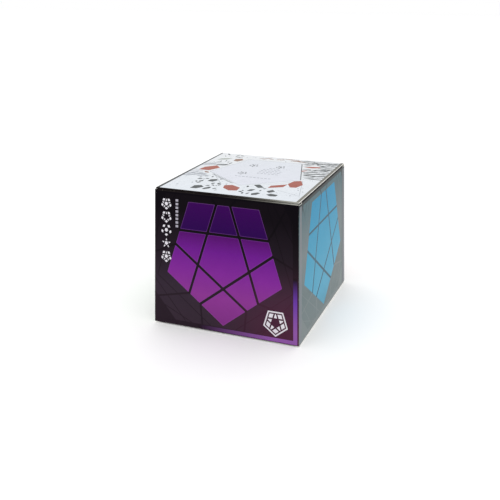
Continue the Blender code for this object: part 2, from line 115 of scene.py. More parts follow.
class Finish:
    """A procedural material: a Principled shader fed by nodes that read the object's own coordinates."""

    def __init__(self, name):
        self.material = bpy.data.materials.new(name)
        self.material.use_nodes = True
        self.tree = self.material.node_tree
        self.shader = self.tree.nodes["Principled BSDF"]
        self.coords = self.tree.nodes.new("ShaderNodeTexCoord").outputs["Object"]
        split = self.tree.nodes.new("ShaderNodeSeparateXYZ")
        self.tree.links.new(self.coords, split.inputs[0])
        self.x, self.y, self.z = split.outputs

    def put(self, socket, value):
        if isinstance(value, bpy.types.NodeSocket):
            self.tree.links.new(value, socket)
        else:
            socket.default_value = value

    def math(self, operation, *values, clamp=False):
        node = self.tree.nodes.new("ShaderNodeMath")
        node.operation = operation
        node.use_clamp = clamp
        for socket, value in zip(node.inputs, values):
            self.put(socket, value)
        return node.outputs[0]

    def share(self, value, low, high):
        """0 where value is at low, 1 at high, and smooth between."""
        node = self.tree.nodes.new("ShaderNodeMapRange")
        node.interpolation_type = "SMOOTHSTEP"
        self.put(node.inputs["Value"], value)
        node.inputs["From Min"].default_value = low
        node.inputs["From Max"].default_value = high
        return node.outputs["Result"]

    def ramp(self, value, stops):
        """A colour that runs through (position, colour) stops."""
        node = self.tree.nodes.new("ShaderNodeValToRGB")
        self.put(node.inputs[0], value)
        elements = node.color_ramp.elements
        while len(elements) < len(stops):
            elements.new(0.5)
        for element, (position, colour) in zip(elements, stops):
            element.position = position
            element.color = colour
        return node.outputs[0]

    def mix(self, share, first, second):
        node = self.tree.nodes.new("ShaderNodeMix")
        node.data_type = "RGBA"
        self.put(node.inputs["Factor"], share)
        self.put(node.inputs[6], first)
        self.put(node.inputs[7], second)
        return node.outputs[2]

    def noise(self, scale, detail=3.0, stretch=(1, 1, 1)):
        """Noise with features about 1/scale metres across."""
        mapping = self.tree.nodes.new("ShaderNodeMapping")
        mapping.inputs["Scale"].default_value = stretch
        self.tree.links.new(self.coords, mapping.inputs["Vector"])
        node = self.tree.nodes.new("ShaderNodeTexNoise")
        node.inputs["Scale"].default_value = scale
        node.inputs["Detail"].default_value = detail
        self.tree.links.new(mapping.outputs[0], node.inputs["Vector"])
        return node.outputs[0]

    def shaded(self, colour, amount, by):
        """colour made up to amount lighter or darker, by a noise."""
        scale = self.math("MULTIPLY_ADD", by, 2 * amount, 1 - amount)
        node = self.tree.nodes.new("ShaderNodeMix")
        node.data_type = "RGBA"
        node.blend_type = "MULTIPLY"
        node.inputs["Factor"].default_value = 1.0
        self.put(node.inputs[6], colour)
        self.put(node.inputs[7], scale)
        return node.outputs[2]

    def finish(self, colour, roughness, metallic=0.0, specular=0.5, bump=None, strength=0.1, distance=0.1 * MM):
        self.put(self.shader.inputs["Base Color"], colour)
        self.put(self.shader.inputs["Roughness"], roughness)
        self.shader.inputs["Metallic"].default_value = metallic
        self.shader.inputs["Specular IOR Level"].default_value = specular
        if bump is not None:
            node = self.tree.nodes.new("ShaderNodeBump")
            node.inputs["Strength"].default_value = strength
            node.inputs["Distance"].default_value = distance
            self.tree.links.new(bump, node.inputs["Height"])
            self.tree.links.new(node.outputs[0], self.shader.inputs["Normal"])
        return self.material


# The colour of rubbed card, also used as a painted highlight along the creases.
FIBRE_AND_HIGHLIGHT = srgb("b9b2a8")


def edge_wear_and_highlight(made):
    """Where the film is rubbed, and a painted highlight: fine pale spots along the carton's upright and flat
    creases.
    """
    across = made.math("MINIMUM", made.math("ABSOLUTE", made.x), made.math("ABSOLUTE", made.y))
    upright = made.share(across, HALF - 0.5 * MM, HALF - 0.15 * MM)
    level = made.math("ABSOLUTE", made.math("SUBTRACT", made.z, HEIGHT / 2))
    flat = made.share(level, HEIGHT / 2 - 1.2 * MM, HEIGHT / 2 - 0.3 * MM)
    rubbed_and_lit = made.math("MAXIMUM", upright, flat)
    spots = made.share(made.noise(900, 4.0), 0.5, 0.7)
    return made.math("MULTIPLY", made.math("MULTIPLY", rubbed_and_lit, spots), 0.25)


def printed(name, stops, along="z", warm_sheen=None, gloss=0.16, specular=0.04, wear_and_highlight=True):
    """Ink under a gloss film: colours that run up the panel, or across it, with the film's faint ripple.

    The colour drifts to a warm one at the panel's lower right: a painted sheen, the gloss film's haze.
    """
    made = Finish(name)
    up = made.math("DIVIDE", made.z, HEIGHT)
    across = made.math("MULTIPLY_ADD", made.y if along == "y" else made.x, 1 / WIDTH, 0.5)
    colour = made.ramp(up if along == "z" else across, [(at, srgb(hexed)) for at, hexed in stops])
    # Painted sheen: a warm haze towards the panel's lower right.
    if warm_sheen:
        low_right = made.math("MULTIPLY", made.share(across, 0.35, 1.0), made.share(up, 0.62, 0.05))
        colour = made.mix(low_right, colour, srgb(warm_sheen))
    colour = made.shaded(colour, 0.05, made.noise(160))
    # Pale spots on the creases: wear, and a painted highlight.
    if wear_and_highlight:
        colour = made.mix(edge_wear_and_highlight(made), colour, FIBRE_AND_HIGHLIGHT)
    ripple = made.math("ADD", made.noise(38, 1.0), made.math("MULTIPLY", made.noise(1500, 2.0), 0.03))
    rough = made.math("MULTIPLY_ADD", made.noise(90), 0.1, gloss)
    return made.finish(colour, rough, specular=specular, bump=ripple, strength=0.12, distance=0.6 * MM)


def raw_card(name, hexed="cfc9bf"):
    """Uncoated board: short fibres and flecks."""
    made = Finish(name)
    fibres = made.noise(1400, 5.0, stretch=(1, 0.25, 1))
    colour = made.shaded(srgb(hexed), 0.09, fibres)
    flecks = made.share(made.noise(2600, 2.0), 0.68, 0.74)
    colour = made.mix(made.math("MULTIPLY", flecks, 0.5), colour, srgb("8f887c"))
    return made.finish(colour, 0.85, specular=0.2, bump=fibres, strength=0.5, distance=0.06 * MM)


def moulded(name, hexed, rough=0.24):
    """Moulded plastic: a faint flow in the colour, and a satin that handling has polished unevenly."""
    made = Finish(name)
    colour = made.shaded(srgb(hexed), 0.035, made.noise(120))
    polish = made.math("MULTIPLY_ADD", made.noise(260, 4.0), 0.14, rough - 0.05)
    return made.finish(colour, polish, specular=0.3, bump=made.noise(700, 2.0), strength=0.05, distance=0.02 * MM)


def drawn_steel(name):
    made = Finish(name)
    drawn = made.noise(3000, 3.0, stretch=(1, 1, 0.2))
    colour = made.shaded(srgb("b9babd"), 0.1, drawn)
    rough = made.math("MULTIPLY_ADD", drawn, 0.15, 0.22)
    return made.finish(colour, rough, metallic=1.0, bump=drawn, strength=0.2, distance=0.02 * MM)


# Flat outlines, in millimetres


def rounded(points, radius, steps=3):
    """A polygon with each corner turned into a short curve."""
    result = []
    for i, corner in enumerate(points):
        before, after = points[i - 1], points[(i + 1) % len(points)]
        reach = min(radius, (before - corner).length * 0.45, (after - corner).length * 0.45)
        start = corner + (before - corner).normalized() * reach
        end = corner + (after - corner).normalized() * reach
        for step in range(steps + 1):
            t = step / steps
            result.append(start * (1 - t) ** 2 + corner * 2 * t * (1 - t) + end * t**2)
    return result


def inset(points, distance):
    """A convex polygon, counter-clockwise, with each side moved in."""
    result = []
    for i, corner in enumerate(points):
        first = (corner - points[i - 1]).normalized()
        second = (points[(i + 1) % len(points)] - corner).normalized()
        first, second = Vector((-first.y, first.x)), Vector((-second.y, second.x))
        result.append(corner + (first + second) * distance / (1 + first.dot(second)))
    return result


def clipped(points, normal, limit):
    """The part of a polygon, in 2-D or 3-D, where normal . point is at most limit."""
    result = []
    for i, point in enumerate(points):
        following = points[(i + 1) % len(points)]
        a, b = normal.dot(point) - limit, normal.dot(following) - limit
        if a <= 0:
            result.append(point)
        if a * b < 0:
            result.append(point.lerp(following, a / (a - b)))
    return result


def area(points):
    return sum(a.x * b.y - b.x * a.y for a, b in zip(points, points[1:] + points[:1])) / 2


def rectangle(left, bottom, right, top):
    return [Vector(p) for p in ((left, bottom), (right, bottom), (right, top), (left, top))]


def ngon(centre, radius, sides=5, turn=0.0):
    return [
        Vector(centre) + Vector((math.cos(a), math.sin(a))) * radius
        for a in (math.radians(turn - 90) + i * 2 * math.pi / sides for i in range(sides))
    ]


# The dodecahedron


def face_axes():
    axes = {"U": Vector((0, 0, 1)), "D": Vector((0, 0, -1))}
    for ring, offset, height in ((UPPER_RING, 0.0, RING_Z), (LOWER_RING, 0.5, -RING_Z)):
        for step, face in enumerate(ring):
            azimuth = math.radians(-90 + (step + offset) * 72)
            axes[face] = Vector((RING_R * math.cos(azimuth), RING_R * math.sin(azimuth), height))
    return axes


AXES = face_axes()
FACES = list(AXES)


def adjacent(a, b):
    return a != b and AXES[a].dot(AXES[b]) > 0


def edge_pairs():
    return [(a, b) for i, a in enumerate(FACES) for b in FACES[i + 1 :] if adjacent(a, b)]


def corner_triples():
    return [
        (a, b, c)
        for a, b in edge_pairs()
        for c in FACES[FACES.index(b) + 1 :]
        if adjacent(a, c) and adjacent(b, c)
    ]


def face_outline(face):
    """A face's five vertices, counter-clockwise from outside."""
    axis = AXES[face]
    corners = [
        sum((AXES[f] for f in triple), Vector()).normalized() * CIRCUMRADIUS
        for triple in corner_triples()
        if face in triple
    ]
    first = (corners[0] - axis * corners[0].dot(axis)).normalized()
    second = axis.cross(first)
    return sorted(corners, key=lambda c: math.atan2(c.dot(second), c.dot(first)))


def face_cells(face, gap):
    """The eleven cells of a face, with gaps of that width between them, as 3-D polygons."""
    near = [f for f in FACES if adjacent(face, f)]
    pairs = [(a, b) for i, a in enumerate(near) for b in near[i + 1 :] if adjacent(a, b)]
    cells = []
    for beyond in [()] + [(f,) for f in near] + pairs:
        cell = face_outline(face)
        for other in near:
            if other in beyond:
                cell = clipped(cell, -AXES[other], -OUTER_CUT - gap / 2)
            else:
                cell = clipped(cell, AXES[other], OUTER_CUT - gap / 2)
        cells.append(cell)
    return cells


# Printed artwork

ART_SCALE = 46.6 / (EDGE / MM)  # the printed pentagon's side over the puzzle's edge
ART_CENTRE = Vector((46.8, 44.5))
ART_DISTANCE = 6.0  # how far the drawn puzzle's viewer stands, in edges from its near face
ART_GAP = 1.0 * MM
SIDE_ART_GAP = 0.85 * MM
CELL_ROUND = 0.4
RIM = 0.3


def drawn(point):
    """Where a point of the puzzle falls on a panel, in millimetres, with face U towards the viewer."""
    depth = (INRADIUS - point.z) / EDGE
    scale = ART_SCALE * ART_DISTANCE / (ART_DISTANCE + depth) / MM
    return ART_CENTRE + Vector((-point.x, -point.y)) * scale


def tidy(polygon, smallest=0.4):
    """The polygon counter-clockwise without repeated points, or None if it is a sliver."""
    points = [p for i, p in enumerate(polygon) if (p - polygon[i - 1]).length > 0.02]
    if len(points) < 3 or abs(area(points)) < smallest:
        return None
    return points if area(points) > 0 else points[::-1]


def within(polygon, low, high):
    for normal, limit in (((1, 0), high.x), ((-1, 0), -low.x), ((0, 1), high.y), ((0, -1), -low.y)):
        polygon = clipped(polygon, Vector(normal), limit)
        if not polygon:
            return []
    return polygon


def puzzle_art(inks, low, high, gap):
    """The printed puzzle: dim cells of the five faces around, then the near face's bright cells, each with a rim."""
    layers = []
    for face in UPPER_RING:
        for cell in face_cells(face, ART_GAP):
            flat = tidy(within([drawn(p) for p in cell], low, high))
            if flat:
                layers.append((flat, inks["dim"]))
    layers.append((tidy([drawn(p) for p in face_outline("U")]), inks["seam"]))
    for cell in face_cells("U", gap):
        flat = tidy([drawn(p) for p in cell])
        layers.append((rounded(flat, CELL_ROUND), inks["rim"]))
        layers.append((rounded(inset(flat, RIM), CELL_ROUND * 0.8), inks["cell"]))
    return layers


def small_face(centre, radius, ink, turn=0.0, parts=(True, True, True), gap=0.62):
    """A small pictogram of the puzzle's face. parts says whether its centre, edges and corners are inked."""
    size = radius / (EDGE / MM * 0.8507) / MM
    spin = Matrix.Rotation(math.radians(turn), 2)
    layers = []
    for number, cell in enumerate(face_cells("U", gap * MM / (size * MM))):
        kind = 0 if number == 0 else 1 if number <= 5 else 2
        if parts[kind]:
            flat = tidy([Vector(centre) + spin @ Vector((-p.x, -p.y)) * size for p in cell], 0.05)
            if flat:
                layers.append((flat, ink))
    return layers


def front_marks(ink, grey):
    """Plain marks where the carton carries lettering: small faces, ticks and an outline of the puzzle."""
    layers = []
    looks = ((1, 1, 1), (0, 1, 1), (1, 0, 1), (1, 1, 0), (1, 1, 1))
    for row, parts in enumerate(looks):
        layers += small_face((8.3, 74.0 - row * 8.1), 3.7, ink, parts=parts)
    for row in range(8):
        top = 77.3 - row * 2.25
        layers.append((rectangle(14.7, top - 1.4, 16.5, top), grey))
    centre = Vector((80.4, 11.9))
    layers.append((ngon(centre, 8.1), ink))
    layers.append((ngon(centre, 7.1), "front_ground"))
    layers += small_face(centre, 6.2, ink, parts=(0, 1, 1), gap=0.8)
    return layers


# Sheets cut from artwork


def cut_sheet(layers, extra=()):
    """Triangles of overlapping outlines: each takes the ink of the last outline that covers it."""
    points, faces = [], []
    for outline, _ in layers:
        faces.append(list(range(len(points), len(points) + len(outline))))
        points += outline
    lines = []
    for start, end in extra:
        lines.append((len(points), len(points) + 1))
        points += [Vector(start), Vector(end)]
    verts, _, triangles, _, _, sources = delaunay_2d_cdt(points, lines, faces, 0, 1e-5)
    kept = [(tri, layers[max(source)][1]) for tri, source in zip(triangles, sources) if source]
    return verts, kept


def sheet(name, layers, place, finishes, raw, extra=(), met=None):
    """A board: its face is cut from the layers, and its back and its cut edges are raw card.

    place gives the point of space for a point of the sheet and a depth into the board. met says whether a point
    of the sheet's outline lies where the sheet meets itself, so that no cut edge is made there.
    """
    verts, triangles = cut_sheet(layers, extra)
    inks = sorted({ink for _, ink in triangles})
    bm = bmesh.new()
    faces = [bm.verts.new(place(v.x * MM, v.y * MM, 0.0)) for v in verts]
    backs = [bm.verts.new(place(v.x * MM, v.y * MM, BOARD)) for v in verts]
    sides = {}
    for corners, ink in triangles:
        bm.faces.new([faces[i] for i in corners]).material_index = inks.index(ink)
        bm.faces.new([backs[i] for i in reversed(corners)]).material_index = len(inks)
        for start, end in zip(corners, corners[1:] + corners[:1]):
            if sides.pop((end, start), None) is None:
                sides[start, end] = True
    for start, end in sides:
        if not (met and met(verts[start]) and met(verts[end])):
            rim = (faces[end], faces[start], backs[start], backs[end])
            bm.faces.new(rim).material_index = len(inks)
    loose = [v for v in bm.verts if not v.link_faces]
    bmesh.ops.delete(bm, geom=loose, context="VERTS")
    bmesh.ops.remove_doubles(bm, verts=bm.verts, dist=0.002 * MM)
    mesh = bpy.data.meshes.new(name)
    bm.to_mesh(mesh)
    bm.free()
    for ink in inks:
        mesh.materials.append(finishes[ink])
    mesh.materials.append(raw)
    return smoothed(linked(name, mesh))


def linked(name, data):
    obj = bpy.data.objects.new(name, data)
    bpy.context.scene.collection.objects.link(obj)
    return obj


def smoothed(obj, sharp=35):
    obj.data.shade_smooth()
    obj.data.set_sharp_from_angle(angle=math.radians(sharp))
    return obj


def around(s, z, depth):
    """A point of the carton's walls, a distance s along its four panels from the front left corner."""
    side, along = divmod(s, WIDTH)
    radius = CORNER_RADIUS
    if along < radius:
        angle = (along / radius - 1) * math.pi / 4
        centre = radius
    elif along > WIDTH - radius:
        angle = ((along - WIDTH) / radius + 1) * math.pi / 4
        centre = WIDTH - radius
    else:
        angle = 0
        centre = along
    reach = radius - depth
    local = Vector((centre + reach * math.sin(angle), radius - reach * math.cos(angle)))
    local = Matrix.Rotation(side * math.pi / 2, 2) @ (local - Vector((HALF, HALF)))
    return Vector((local.x, local.y, z))


def bend(centre, radius, start, end, before=0.0, after=0.0, steps=6):
    """A board's section over a crease: (face, back) pairs of (across, up) points.

    It runs round an arc between two angles, in degrees, with a straight lead at each end.
    """
    stations = [(start, 0.0)] if not before else [(start, -before), (start, 0.0)]
    stations += [(start + (end - start) * number / steps, 0.0) for number in range(1, steps + 1)]
    if after:
        stations.append((end, after))
    section = []
    for degrees, lead in stations:
        outward = Vector((math.cos(math.radians(degrees)), math.sin(math.radians(degrees))))
        along = Vector((-outward.y, outward.x)) * (1 if end > start else -1)
        middle = Vector(centre) + along * lead
        section.append((middle + outward * radius, middle + outward * (radius - BOARD)))
    return section


def fold(name, section, length, face_finish, raw, axis="x", middle=0.0, steps=24):
    """A crease: a board's section drawn out along X or Y."""
    outline = [face for face, _ in section] + [back for _, back in reversed(section)]
    printed_sides = len(section) - 1
    bm = bmesh.new()
    rows = []
    for number in range(steps + 1):
        at = middle + (number / steps - 0.5) * length
        rows.append([bm.verts.new((at, p.x, p.y) if axis == "x" else (p.x, at, p.y)) for p in outline])
    for first, second in zip(rows, rows[1:]):
        for i in range(len(outline)):
            j = (i + 1) % len(outline)
            bm.faces.new((first[i], first[j], second[j], second[i])).material_index = int(i >= printed_sides)
    for row in (rows[0], rows[-1]):
        for i in range(printed_sides):
            cap = (row[i], row[i + 1], row[-2 - i], row[-1 - i])
            bm.faces.new(cap).material_index = 1
    bmesh.ops.recalc_face_normals(bm, faces=bm.faces)
    mesh = bpy.data.meshes.new(name)
    bm.to_mesh(mesh)
    bm.free()
    mesh.materials.append(face_finish)
    mesh.materials.append(raw)
    return smoothed(linked(name, mesh))


# The carton

# The black ground and the dim cells grow lighter towards the bottom: black print with a painted sheen of the gloss
# film.
DARK_GROUND_AND_SHEEN = ((0.0, "281c26"), (0.25, "271c25"), (0.5, "1a1219"), (0.8, "080409"), (1.0, "060209"))
DARK_CELLS = ((0.0, "362934"), (0.3, "322733"), (0.5, "231a23"), (0.85, "0c060d"))
PANEL_INKS = {
    "front": {
        "cell": (
            (0.04, "7b307f"),
            (0.25, "86358b"),
            (0.42, "7b288f"),
            (0.58, "681a86"),
            (0.7, "500d64"),
            (0.715, "280148"),
            (0.93, "360150"),
        ),
        "rim": ((0.0, "8d4090"), (0.6, "75338f"), (0.7, "642a7c"), (0.715, "582a72"), (0.93, "5a326c")),
        "line": "8a559f",
        "ground": DARK_GROUND_AND_SHEEN,
        "dim": DARK_CELLS,
        "seam": DARK_GROUND_AND_SHEEN,
        "warm_sheen": "4b253a",
    },
    # The right panel's colours are its print with a painted reflection of the bright studio, which the gloss film
    # shows at a grazing angle: it greys the black ground.
    "right": {
        "cell": ((0.03, "5898b0"), (0.2, "52a1bf"), (0.5, "3895b6"), (0.9, "1486ae")),
        "rim": ((0.0, "5a96ae"), (0.93, "2484a6")),
        "line": "8b9196",
        "ground": ((0.0, "808889"), (0.3, "6f7a7b"), (0.6, "6e797a"), (0.85, "4b666c"), (0.97, "2a3234")),
        "dim": ((0.0, "768182"), (0.3, "677475"), (0.6, "6d787b"), (0.9, "4a646a")),
        "seam": ((0.0, "3b5a66"), (0.5, "355c6c"), (0.93, "1e4a5c")),
        "warm_sheen": None,
    },
    "back": {
        "cell": ((0.03, "b8431f"), (0.45, "a8330f"), (0.7, "8a2208"), (0.715, "641402"), (0.93, "701a04")),
        "rim": ((0.0, "c86038"), (0.7, "a8543a"), (0.93, "843018")),
        "line": "b8603c",
        "ground": DARK_GROUND_AND_SHEEN,
        "dim": DARK_CELLS,
        "seam": DARK_GROUND_AND_SHEEN,
        "warm_sheen": None,
    },
    "left": {
        "cell": ((0.03, "3f9a3c"), (0.45, "2f8a30"), (0.7, "1f6e24"), (0.715, "0f4c18"), (0.93, "145620")),
        "rim": ((0.0, "5cac58"), (0.7, "3f8844"), (0.93, "246a2c")),
        "line": "529c50",
        "ground": DARK_GROUND_AND_SHEEN,
        "dim": DARK_CELLS,
        "seam": DARK_GROUND_AND_SHEEN,
        "warm_sheen": None,
    },
}
PANELS = ("front", "right", "back", "left")
FOLD_SHEEN = ((0.0, "1c1616"), (0.45, "1a1515"), (0.62, "33312e"), (0.8, "66645e"), (0.97, "a3a39c"))


def panel_finishes():
    """The inks of the four walls."""
    finishes = {
        "gap": printed("ink_black_and_sheen", DARK_GROUND_AND_SHEEN),
        "white": printed("ink_white", ((0.0, "d9d5dc"), (1.0, "dedbe2")), wear_and_highlight=False),
        "grey": printed("ink_grey", ((0.0, "98939e"), (1.0, "a8a4b0")), wear_and_highlight=False),
        "fold_sheen": printed("ink_fold_sheen", FOLD_SHEEN, along="x", wear_and_highlight=False),
        "side_sheen": printed("ink_side_sheen", ((0.0, "7e8388"), (1.0, "6f7479")), wear_and_highlight=False),
        "side_shade": printed("ink_side_shade", ((0.0, "4e5757"), (1.0, "2b3333")), wear_and_highlight=False),
    }
    for panel in PANELS:
        inks = PANEL_INKS[panel]
        for kind in ("cell", "rim", "ground", "dim", "seam"):
            warm_sheen = inks["warm_sheen"] if kind in ("ground", "dim", "seam") else None
            finishes[f"{panel}_{kind}"] = printed(f"ink_{panel}_{kind}", inks[kind], warm_sheen=warm_sheen)
        across = "x" if panel in ("front", "back") else "y"
        near, far = (0.32, 0.82) if panel in ("front", "right") else (0.68, 0.18)
        stops = sorted(((near, "20151c"), (far, inks["line"])))
        finishes[panel + "_foot"] = printed(f"ink_{panel}_foot_line", stops, along=across)
        stops = ((0.1, inks["line"]), (0.3, "663a9c" if panel == "front" else inks["line"]), (0.46, "21151c"))
        finishes[panel + "_side"] = printed(f"ink_{panel}_side_line", stops)
    return finishes


def panel_layers(panel, top):
    """One wall's artwork, from the ground up."""
    width = WIDTH / MM
    inks = {kind: f"{panel}_{kind}" for kind in ("cell", "rim", "dim", "seam")}
    gap = SIDE_ART_GAP if panel == "right" else ART_GAP
    layers = [(rectangle(0, WALL_BOTTOM / MM, width, top), panel + "_ground")]
    layers += puzzle_art(inks, Vector((0.9, 3.6)), Vector((91.2, top - 1.8)), gap)
    if panel == "right":
        layers.append((rectangle(1.0, 1.2, 4.6, top - 1.4), "side_sheen"))
        layers.append((rectangle(88.6, 1.2, 89.8, top - 2.0), "side_shade"))
        layers.append((rectangle(89.8, 1.2, 94.0, top - 1.2), "side_sheen"))
        layers.append((rectangle(0.8, top - 1.0, 94.2, top), "side_shade"))
    else:
        layers.append((rectangle(30.0, 1.0, 91.4, 3.2), panel + "_foot"))
        layers.append((rectangle(91.4, 1.0, 93.9, 39.5), panel + "_side"))
    if panel == "front":
        layers.append((rectangle(0.8, top - 0.6, width - 0.3, top), "fold_sheen"))
        layers += front_marks("white", "grey")
    return layers


def build_walls(finishes, raw):
    """The four walls, one folded board: its face is the four panels' artwork side by side."""
    width = WIDTH / MM
    layers, lines = [], []
    for number, panel in enumerate(PANELS):
        top = (WALL_TOP if panel in ("front", "back") else SIDE_TOP) / MM
        shift = Vector((number * width, 0))
        layers += [([p + shift for p in outline], ink) for outline, ink in panel_layers(panel, top)]
        for step in range(-3, 4):
            s = (number * width + step * CORNER_RADIUS / MM / 3) % (4 * width)
            lines.append(((s, WALL_BOTTOM / MM), (s, WALL_TOP / MM)))
    lines.append(((0, WALL_BOTTOM / MM), (0, SIDE_TOP / MM)))

    def met(point):
        return min(point.x, 4 * width - point.x) < 0.01 and point.y < SIDE_TOP / MM + 0.01

    walls = sheet("carton_walls", layers, around, finishes, raw, extra=lines, met=met)
    inked = walls.data.materials.find("ink_front_ground")
    for polygon in walls.data.polygons:
        if polygon.normal.z > 0.9 and polygon.center.y < BOARD - HALF:
            polygon.material_index = inked
    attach(walls, "carton")
    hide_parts("carton_body")


LID_LEFT, LID_RIGHT = -HALF + 0.4 * MM, HALF - 0.4 * MM
LID_FRONT = TUCK_LOW.y + FOLD_RADIUS
LID_BACK = HALF - FOLD_RADIUS
TUCK_TILT = 8
LID_ART_CENTRE = Vector((0.2, 7.8))
LID_ART_RADIUS = 34.0


def shard(source, centre, length, breadth, turn):
    """A splinter: an uneven polygon, longer one way."""
    spin = Matrix.Rotation(math.radians(turn), 2)
    points = []
    for corner in ngon((0, 0), 1.0, source.choice((4, 5, 5, 6)), source.uniform(0, 360)):
        corner = corner * source.uniform(0.72, 1.0)
        points.append(Vector(centre) + spin @ Vector((corner.x * length, corner.y * breadth)) / 2)
    return tidy(points, 0.05)


def clear_of_pentagon(point, margin):
    """Whether a point lies outside the lid's pentagon by more than a margin."""
    apothem = LID_ART_RADIUS * math.cos(math.pi / 5)
    offset = point - LID_ART_CENTRE
    return any(
        offset.dot(Vector((math.cos(a), math.sin(a)))) > apothem + margin
        for a in (math.radians(90 + 72 * i) for i in range(5))
    )


def scattered(source, zone, count, lengths, slimness, ink, placed):
    """Splinters strewn over a zone (left, front, right, back), clear of the pentagon and of each other."""
    left, front, right, back = zone
    layers = []
    for _ in range(count * 30):
        if len(layers) == count:
            break
        length = source.uniform(*lengths)
        centre = Vector((source.uniform(left, right), source.uniform(front, back)))
        turn = source.gauss(8, 12) if slimness < 0.3 else source.uniform(0, 180)
        reach = length * (0.05 + slimness) / 2
        if clear_of_pentagon(centre, length * 0.42) and all(
            (centre - other).length > reach + away + 0.25 for other, away in placed
        ):
            outline = shard(source, centre, length, length * slimness * source.uniform(0.7, 1.1), turn)
            if outline:
                placed.append((centre, reach))
                layers.append((outline, ink))
    return layers


def thin_line(start, end, width=0.24):
    start, end = Vector(start), Vector(end)
    across = (end - start).normalized().orthogonal() * width / 2
    return tidy([start - across, end - across, end + across, start + across], 0.01)


# Large splinters on the lid: across, up from its middle, length, breadth, turn, ink
LARGE_SPLINTERS = (
    (-36.5, 5.5, 17.0, 12.0, 50, "red"),
    (-3.0, -32.5, 18.0, 11.5, -40, "red"),
    (23.0, -20.5, 18.0, 8.0, 38, "red"),
    (32.5, -13.0, 21.0, 10.5, 100, "red"),
    (31.0, 29.0, 14.0, 5.5, 12, "red"),
    (26.5, 18.0, 8.0, 3.5, 40, "red"),
    (-33.5, -4.5, 6.5, 3.0, -30, "brown"),
    (-26.5, 31.0, 11.0, 8.0, 70, "brown"),
    (-23.5, -37.0, 11.0, 8.0, 75, "slate"),
    (-16.8, -37.8, 9.0, 4.0, 60, "slate"),
    (-20.5, -21.0, 8.5, 6.5, 50, "slate"),
    (12.5, -24.0, 12.5, 6.0, -40, "slate"),
    (11.0, -33.0, 8.0, 4.5, 60, "slate"),
    (23.5, -31.5, 8.5, 7.0, 70, "slate"),
    (27.0, -38.5, 9.5, 6.0, -15, "slate"),
    (16.5, -39.0, 8.5, 5.0, 65, "slate"),
    (-37.5, 30.5, 14.0, 4.0, 30, "moss"),
    (-31.5, 15.5, 13.0, 4.0, 18, "slate"),
)
# Where the small ones lie: left, front, right, back, then how many, their lengths, their slimness and ink
SPLINTER_ZONES = (
    ((-19, -40, 28, -26), 16, (2.2, 4.6), 0.6, "slate"),
    ((-32, -30, -16, -12), 10, (2.2, 4.6), 0.6, "slate"),
    ((21, 1, 45, 43), 70, (6.0, 15.0), 0.2, "slate"),
    ((-44, -16, -30, 20), 34, (5.0, 14.0), 0.14, "hairline"),
    ((-42, 20, -26, 44), 12, (3.0, 7.0), 0.3, "slate"),
    ((-18, 37.5, 20, 44), 14, (5.0, 10.0), 0.24, "brown"),
    ((-44, -40, 44, 44), 50, (1.0, 2.4), 0.5, "hairline"),
)
# Rows of ticks on the lid's pentagon: across and up from its middle, then how many
LID_ROWS = ((6.0, 9.6, 3), (5.5, 6.2, 5), (6.5, 2.8, 6), (6.5, -0.6, 6), (6.5, -4.0, 6), (0.5, -14.5, 10))
LID_FACES = ((-10.2, 13.0), (9.0, 14.5), (-10.0, -7.0))
LID_TICKS = 14


def beside(start, end, along, off):
    """A point a distance along a line and off to its right."""
    forward = (end - start).normalized()
    return start + forward * along + Vector((forward.y, -forward.x)) * off


def lid_art():
    """The lid: splinters and fine cracks round a pale pentagon, which holds rows of ticks and small faces."""
    left, right = LID_LEFT / MM, LID_RIGHT / MM
    front, back = LID_FRONT / MM, LID_BACK / MM
    low, high = Vector((left + 1, front + 1)), Vector((right - 1, back - 1))
    layers = [(rectangle(left, front, right, back), "paper")]
    cracks = (
        ((34.5, -4.0), (43.0, -35.0)),
        ((43.0, -35.0), (26.5, -28.0)),
        ((-12.0, -27.0), (-32.0, 0.0)),
        ((4.0, -28.5), (34.0, -4.5)),
    )
    layers += [(thin_line(start, end), "hairline") for start, end in cracks]
    source = random.Random(5)
    placed = []
    for x, y, length, breadth, turn, ink in LARGE_SPLINTERS:
        placed.append((Vector((x, y)), (length + breadth) / 4))
        layers.append((shard(source, (x, y), length, breadth, turn), ink))
    for zone, count, lengths, slimness, ink in SPLINTER_ZONES:
        layers += scattered(source, zone, count, lengths, slimness, ink, placed)
    layers[1:] = [(tidy(within(outline, low, high), 0.01), ink) for outline, ink in layers[1:]]
    points = ngon(LID_ART_CENTRE, LID_ART_RADIUS)
    layers.append((points, "hairline"))
    layers.append((inset(points, 0.3), "lavender"))
    bottom, corner_right, top_right, _, corner_left = points
    layers.append((thin_line(corner_right, top_right, 0.6), "slate"))
    for number in range(LID_TICKS):
        along = 7.0 + number * 1.9
        start, end = (beside(corner_left, bottom, along + lean, off) for lean, off in ((0.5, 0.5), (0, 1.9)))
        layers.append((thin_line(start, end, 0.8), "slate"))
    for across, up, count in LID_ROWS:
        middle = LID_ART_CENTRE + Vector((across, up))
        for tick in range(count):
            x = middle.x + (tick - (count - 1) / 2) * 2.6
            layers.append((rectangle(x - 0.9, middle.y - 0.45, x + 0.9, middle.y + 0.45), "hairline"))
    for offset in LID_FACES:
        layers += small_face(LID_ART_CENTRE + Vector(offset), 3.4, "slate", gap=0.7)
    dark_edge = ((left, front), (left + 2.2, front), (left + 1.3, back), (left, back))
    layers.append(([Vector(p) for p in dark_edge], "edge_dark"))
    # A painted sheen on the black border along the lid's right edge.
    layers.append((rectangle(right - 2.0, front, right, back), "edge_grey"))
    return layers


